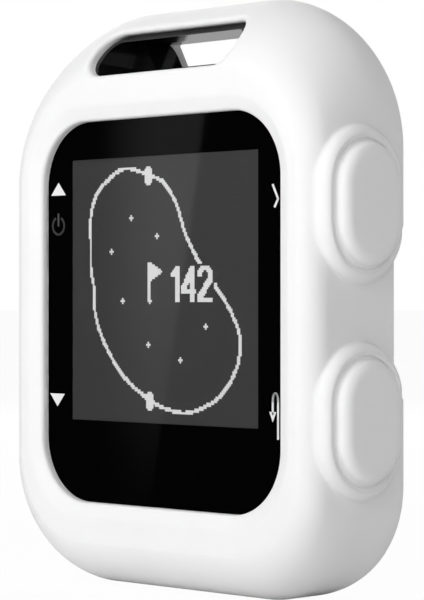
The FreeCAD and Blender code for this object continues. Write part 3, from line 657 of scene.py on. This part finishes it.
def display_cells(material):
    """The lit cells as one thin sheet of squares, with edges only round the outside."""
    lit = display_picture()
    index, points, faces = {}, [], []

    def corner(column, row, depth):
        key = (column, row, depth)
        if key not in index:
            index[key] = len(points)
            x = -DISPLAY_HALF + column * CELL_SIZE
            points.append((x, depth, DISPLAY_Z + DISPLAY_HALF - row * CELL_SIZE))
        return index[key]

    for column, row in sorted(lit):
        square = [(column, row + 1), (column + 1, row + 1), (column + 1, row), (column, row)]
        faces.append(tuple(corner(*place, CELL_FRONT) for place in square))
        faces.append(tuple(corner(*place, CELL_BACK) for place in reversed(square)))
        beside = [(column, row + 1), (column + 1, row), (column, row - 1), (column - 1, row)]
        for step, neighbour in enumerate(beside):
            if neighbour not in lit:
                a, b = square[step], square[(step + 1) % 4]
                ahead = (corner(*b, CELL_FRONT), corner(*a, CELL_FRONT))
                faces.append(ahead + (corner(*a, CELL_BACK), corner(*b, CELL_BACK)))
    return new_piece("display_cells", points, faces, material, smooth=False)


# ---------------------------------------------------------------- materials


def new_material(name):
    """An empty node material with its output, and a helper that adds nodes to it."""
    material = bpy.data.materials.new(name)
    material.use_nodes = True
    nodes = material.node_tree.nodes
    nodes.clear()

    def add(kind, **sockets):
        node = nodes.new(kind)
        for socket, value in sockets.items():
            node.inputs[socket.replace("_", " ")].default_value = value
        return node

    return material, add, material.node_tree.links.new


def surfaced(name, colour, rough, grain=0.0003, relief=0.02, mottle=0.06, metallic=0.0, **more):
    """A finish with fine grain in its relief, and slow changes in its colour and gloss."""
    material, add, link = new_material(name)
    shader = add("ShaderNodeBsdfPrincipled", Metallic=metallic)
    for socket, value in more.items():
        shader.inputs[socket.replace("_", " ")].default_value = value
    place = add("ShaderNodeTexCoord").outputs["Object"]
    fine = add("ShaderNodeTexNoise", Scale=1 / grain, Detail=3.0, Roughness=0.6)
    slow = add("ShaderNodeTexNoise", Scale=140.0, Detail=4.0, Roughness=0.55)
    for texture in (fine, slow):
        link(place, texture.inputs["Vector"])
    tint = add("ShaderNodeValToRGB")
    for element, gain in zip(tint.color_ramp.elements, (1 - mottle, 1)):
        element.color = [gain * value for value in colour] + [1]
    tint.color_ramp.elements[0].position = 0.35
    tint.color_ramp.elements[1].position = 0.65
    link(slow.outputs["Fac"], tint.inputs["Fac"])
    link(tint.outputs["Color"], shader.inputs["Base Color"])
    gloss = add("ShaderNodeMapRange", To_Min=rough * 0.88, To_Max=min(1, rough * 1.12))
    link(slow.outputs["Fac"], gloss.inputs["Value"])
    link(gloss.outputs["Result"], shader.inputs["Roughness"])
    bump = add("ShaderNodeBump", Strength=0.5, Distance=relief * MM)
    link(fine.outputs["Fac"], bump.inputs["Height"])
    link(bump.outputs["Normal"], shader.inputs["Normal"])
    link(shader.outputs["BSDF"], add("ShaderNodeOutputMaterial").inputs["Surface"])
    return material


def clear_glass():
    """Thin cover glass: it shows what is behind it and reflects by its angle."""
    material, add, link = new_material("cover_glass_look")
    through = add("ShaderNodeBsdfTransparent", Color=(0.98, 0.98, 0.98, 1))
    mirror = add("ShaderNodeBsdfGlossy", Color=(1, 1, 1, 1), Roughness=0.03)
    facing = add("ShaderNodeLayerWeight").outputs["Facing"]
    steep = add("ShaderNodeMath")
    steep.operation = "POWER"
    steep.inputs[1].default_value = 5.0
    link(facing, steep.inputs[0])
    share = add("ShaderNodeMapRange", To_Min=0.035, To_Max=1.0)
    link(steep.outputs["Value"], share.inputs["Value"])
    smear = add("ShaderNodeTexNoise", Scale=90.0, Detail=2.0)
    link(add("ShaderNodeTexCoord").outputs["Object"], smear.inputs["Vector"])
    rough = add("ShaderNodeMapRange", To_Min=0.015, To_Max=0.035)
    link(smear.outputs["Fac"], rough.inputs["Value"])
    link(rough.outputs["Result"], mirror.inputs["Roughness"])
    mix = add("ShaderNodeMixShader")
    link(share.outputs["Result"], mix.inputs[0])
    link(through.outputs["BSDF"], mix.inputs[1])
    link(mirror.outputs["BSDF"], mix.inputs[2])
    link(mix.outputs["Shader"], add("ShaderNodeOutputMaterial").inputs["Surface"])
    return material


def lcd_face():
    """The display's dark ground, ruled by the hairlines between its cells."""
    material, add, link = new_material("display_ground")
    shader = add("ShaderNodeBsdfPrincipled", Roughness=0.45, Specular_IOR_Level=0.2)
    place = add("ShaderNodeTexCoord").outputs["Object"]
    turn = add("ShaderNodeMapping", Rotation=(math.radians(90), 0, 0))
    link(place, turn.inputs["Vector"])
    rule = add("ShaderNodeTexBrick", Scale=1.0, Mortar_Size=0.06 * CELL_SIZE * MM)
    rule.offset = 0.0
    rule.inputs["Brick Width"].default_value = CELL_SIZE * MM
    rule.inputs["Row Height"].default_value = CELL_SIZE * MM
    rule.inputs["Color1"].default_value = (0.051, 0.051, 0.051, 1)
    rule.inputs["Color2"].default_value = (0.048, 0.048, 0.048, 1)
    rule.inputs["Mortar"].default_value = (0.037, 0.037, 0.037, 1)
    link(turn.outputs["Vector"], rule.inputs["Vector"])
    link(rule.outputs["Color"], shader.inputs["Base Color"])
    link(shader.outputs["BSDF"], add("ShaderNodeOutputMaterial").inputs["Surface"])
    return material


def slot_materials():
    """A finish for each of the record's material slots."""
    return {
        "silicone": surfaced(
            "white_silicone", (0.87, 0.87, 0.87), 0.62, grain=0.00025, relief=0.006, mottle=0.012,
            Specular_IOR_Level=0.35,
        ),
        "shell_plastic": surfaced(
            "gloss_shell", (0.006, 0.006, 0.006), 0.16, relief=0.002, grain=0.0006,
            Specular_IOR_Level=0.3,
        ),
        "seal_rubber": surfaced("seal_rubber_look", (0.10, 0.10, 0.10), 0.7),
        "screw_steel": surfaced("plated_steel", (0.52, 0.52, 0.54), 0.28, metallic=1.0),
        "cover_glass": clear_glass(),
        "tape": surfaced("black_film", (0.0012, 0.0012, 0.0012), 0.6, Specular_IOR_Level=0.0),
        "display": lcd_face(),
        "light_guide": surfaced("light_guide_look", (0.78, 0.80, 0.80), 0.35),
        "carrier_plastic": surfaced("carrier_plastic_look", (0.05, 0.05, 0.05), 0.55),
        "flex_film": surfaced("polyimide", (0.50, 0.24, 0.05), 0.35),
        "connector_plastic": surfaced("connector_plastic_look", (0.70, 0.68, 0.58), 0.5),
        "board": surfaced("solder_mask", (0.015, 0.15, 0.06), 0.3, mottle=0.3),
        "ceramic": surfaced("fired_ceramic", (0.72, 0.67, 0.56), 0.7),
        "chip_plastic": surfaced("mould_compound", (0.025, 0.025, 0.027), 0.6),
        "can_steel": surfaced("tinned_steel", (0.62, 0.62, 0.62), 0.3, metallic=1.0),
        "cell_foil": surfaced("cell_foil_look", (0.60, 0.62, 0.64), 0.38, metallic=0.8),
        "wire_rubber": surfaced("wire_insulation", (0.45, 0.02, 0.02), 0.5),
        "cap_rubber": surfaced("cap_rubber_look", (0.018, 0.018, 0.018), 0.6, relief=0.012),
        "key_plastic": surfaced("key_plastic_look", (0.03, 0.03, 0.03), 0.5),
    }


# ---------------------------------------------------------------- studio


def point_at(item, target):
    """Turns a lamp or camera to face a point."""
    away = item.location - Vector(target)
    item.rotation_euler = away.to_track_quat("Z", "Y").to_euler()


def lamp(name, azimuth, elevation, power):
    """A soft square lamp round the object: azimuth 0 in front of the screen, 90 at its right."""
    light = bpy.data.lights.new(name, "AREA")
    light.size = LAMP_SIDE
    light.energy = power
    item = bpy.data.objects.new(name, light)
    across, up = math.radians(azimuth), math.radians(elevation)
    item.location = (
        LAMP_DISTANCE * math.sin(across) * math.cos(up),
        -LAMP_DISTANCE * math.cos(across) * math.cos(up),
        LAMP_DISTANCE * math.sin(up) + MIDDLE_HEIGHT,
    )
    bpy.context.scene.collection.objects.link(item)
    point_at(item, (0, 0, MIDDLE_HEIGHT))
    item.visible_camera = False
    return item


MIDDLE_HEIGHT = 0.035
LAMP_DISTANCE = 0.5
LAMP_SIDE = 0.28
LAMPS = {
    "front_low": (0, 8, 0.98),
    "front_high": (0, 35, 0.42),
    "right_low": (55, 8, 0.42),
    "right_high": (45, 35, 0.5),
    "left_low": (-25, 8, 0.22),
    "left_high": (-60, 65, 0.43),
    "top": (0, 88, 0.1),
    "rear_high": (150, 65, 0.12),
    "rear_right": (140, 8, 0.05),
    "rear_left": (-130, 25, 0.9),
    "rear_low": (180, 12, 0.5),
}
WORLD_DIFFUSE = 0.06
WORLD_GLOSS = 0.0
FLOOR_HALF = 12.0
FLOOR_EVENNESS = 0.96
# The glare on the glass: the card's sharp right edge leans, its left side fades out.
GLARE_CORNERS = [
    (-0.62, -0.30, -0.06), (-0.3174, -0.30, -0.06), (-0.2791, -0.30, 0.13), (-0.62, -0.30, 0.13),
]
GLARE_FADE = {"X": (-0.336, -0.306), "Z": (-0.04, 0.07)}
GLARE_STRENGTH = 0.3
# The rear card shows in the roof of the lanyard slot and fades towards its top.
REAR_CORNERS = [(-0.7, 0.1, -0.3), (-0.1, 0.7, -0.3), (-0.1, 0.7, 0.4), (-0.7, 0.1, 0.4)]
REAR_FADE = {"Z": (0.5, 0.3)}
REAR_STRENGTH = 0.68
CAMERA_AT = (0.2069, -0.20465, 0.03497)
CAMERA_TURN = 45
CAMERA_LENS = 143.5
CAMERA_RISE = 2 / 600


def world():
    """A white surround for the camera that lights the object less than it shows."""
    made = bpy.data.worlds.new("studio")
    bpy.context.scene.world = made
    made.use_nodes = True
    nodes, link = made.node_tree.nodes, made.node_tree.links.new
    nodes.clear()
    ray = nodes.new("ShaderNodeLightPath")
    seen = nodes.new("ShaderNodeBackground")
    seen.inputs["Strength"].default_value = 1.0
    lit = nodes.new("ShaderNodeBackground")
    lit.inputs["Strength"].default_value = WORLD_DIFFUSE
    dark = nodes.new("ShaderNodeBackground")
    dark.inputs["Strength"].default_value = WORLD_GLOSS
    for background in (seen, lit, dark):
        background.inputs["Color"].default_value = (1, 1, 1, 1)
    inner = nodes.new("ShaderNodeMixShader")
    link(ray.outputs["Is Glossy Ray"], inner.inputs[0])
    link(lit.outputs[0], inner.inputs[1])
    link(dark.outputs[0], inner.inputs[2])
    outer = nodes.new("ShaderNodeMixShader")
    link(ray.outputs["Is Camera Ray"], outer.inputs[0])
    link(inner.outputs[0], outer.inputs[1])
    link(seen.outputs[0], outer.inputs[2])
    link(outer.outputs[0], nodes.new("ShaderNodeOutputWorld").inputs["Surface"])


def sheet(name, corner_points, material):
    """A four-cornered part of the stage, given in metres."""
    mesh = bpy.data.meshes.new(name)
    mesh.from_pydata(corner_points, [], [(0, 1, 2, 3)])
    mesh.materials.append(material)
    plane = bpy.data.objects.new(name, mesh)
    bpy.context.scene.collection.objects.link(plane)
    return plane


def floor():
    """A plain pale floor, well past the view, that the camera sees lit almost evenly."""
    half = FLOOR_HALF
    square = [(-half, -half, 0), (half, -half, 0), (half, half, 0), (-half, half, 0)]
    pale = surfaced(
        "floor_look", (0.9, 0.9, 0.9), 0.9, grain=0.004, mottle=0.01, Specular_IOR_Level=0.0
    )
    nodes, link = pale.node_tree.nodes, pale.node_tree.links.new
    share = nodes.new("ShaderNodeMath")
    share.operation = "MULTIPLY"
    share.inputs[1].default_value = FLOOR_EVENNESS
    link(nodes.new("ShaderNodeLightPath").outputs["Is Camera Ray"], share.inputs[0])
    mix = nodes.new("ShaderNodeMixShader")
    link(share.outputs["Value"], mix.inputs[0])
    link(nodes["Principled BSDF"].outputs["BSDF"], mix.inputs[1])
    link(nodes.new("ShaderNodeEmission").outputs["Emission"], mix.inputs[2])
    link(mix.outputs["Shader"], nodes["Material Output"].inputs["Surface"])
    sheet("floor", square, pale).visible_glossy = False


def card(name, corner_points, strength, fade):
    """A glowing card that only reflections show, fading along its own width and height."""
    material, add, link = new_material(f"{name}_glow")
    glow = add("ShaderNodeEmission")
    place = add("ShaderNodeTexCoord").outputs["Object"]
    split = add("ShaderNodeSeparateXYZ")
    link(place, split.inputs["Vector"])
    level = None
    for axis, (dark, bright) in fade.items():
        share = add("ShaderNodeMapRange", From_Min=dark, From_Max=bright, To_Min=0, To_Max=1)
        share.interpolation_type = "SMOOTHSTEP"
        link(split.outputs[axis], share.inputs["Value"])
        if level:
            product = add("ShaderNodeMath")
            product.operation = "MULTIPLY"
            link(level, product.inputs[0])
            link(share.outputs["Result"], product.inputs[1])
            level = product.outputs["Value"]
        else:
            level = share.outputs["Result"]
    scaled = add("ShaderNodeMath")
    scaled.operation = "MULTIPLY"
    scaled.inputs[1].default_value = strength
    link(level, scaled.inputs[0])
    link(scaled.outputs["Value"], glow.inputs["Strength"])
    link(glow.outputs["Emission"], add("ShaderNodeOutputMaterial").inputs["Surface"])
    plane = sheet(name, corner_points, material)
    plane.visible_camera = False
    plane.visible_diffuse = False
    plane.visible_transmission = False
    plane.visible_shadow = False


def camera():
    """The main view: level, half way between the screen's front and its right side."""
    lens = bpy.data.cameras.new("view")
    lens.lens = CAMERA_LENS
    lens.sensor_width = 36
    lens.shift_y = CAMERA_RISE
    lens.clip_start, lens.clip_end = 0.01, 10
    item = bpy.data.objects.new("view", lens)
    item.location = CAMERA_AT
    item.rotation_euler = (math.radians(90), 0, math.radians(CAMERA_TURN))
    bpy.context.scene.collection.objects.link(item)
    bpy.context.scene.camera = item


camera()
world()
for lamp_name, settings in LAMPS.items():
    lamp(lamp_name, *settings)
bpy.context.scene.view_settings.view_transform = "Standard"

finishes = slot_materials()
floor()
card("glare_card", GLARE_CORNERS, GLARE_STRENGTH, GLARE_FADE)
card("rear_card", REAR_CORNERS, REAR_STRENGTH, REAR_FADE)
for subpart in frame["record"]["subparts"]:
    node = frame["nodes"][subpart["node"]]
    node.data.materials.clear()
    node.data.materials.append(finishes[subpart["material_slot"]])

silicone_jacket(finishes["silicone"])
for button_name in SIDES:
    button_pad(button_name, finishes["silicone"])
ink_mask(finishes["tape"])
white_ink = surfaced("white_ink", (0.88, 0.88, 0.88), 0.6, mottle=0.02)
legends(white_ink, surfaced("grey_ink", (0.07, 0.07, 0.07), 0.6))
display_cells(surfaced("lit_cells", (0.8, 0.8, 0.8), 0.6, mottle=0.02))
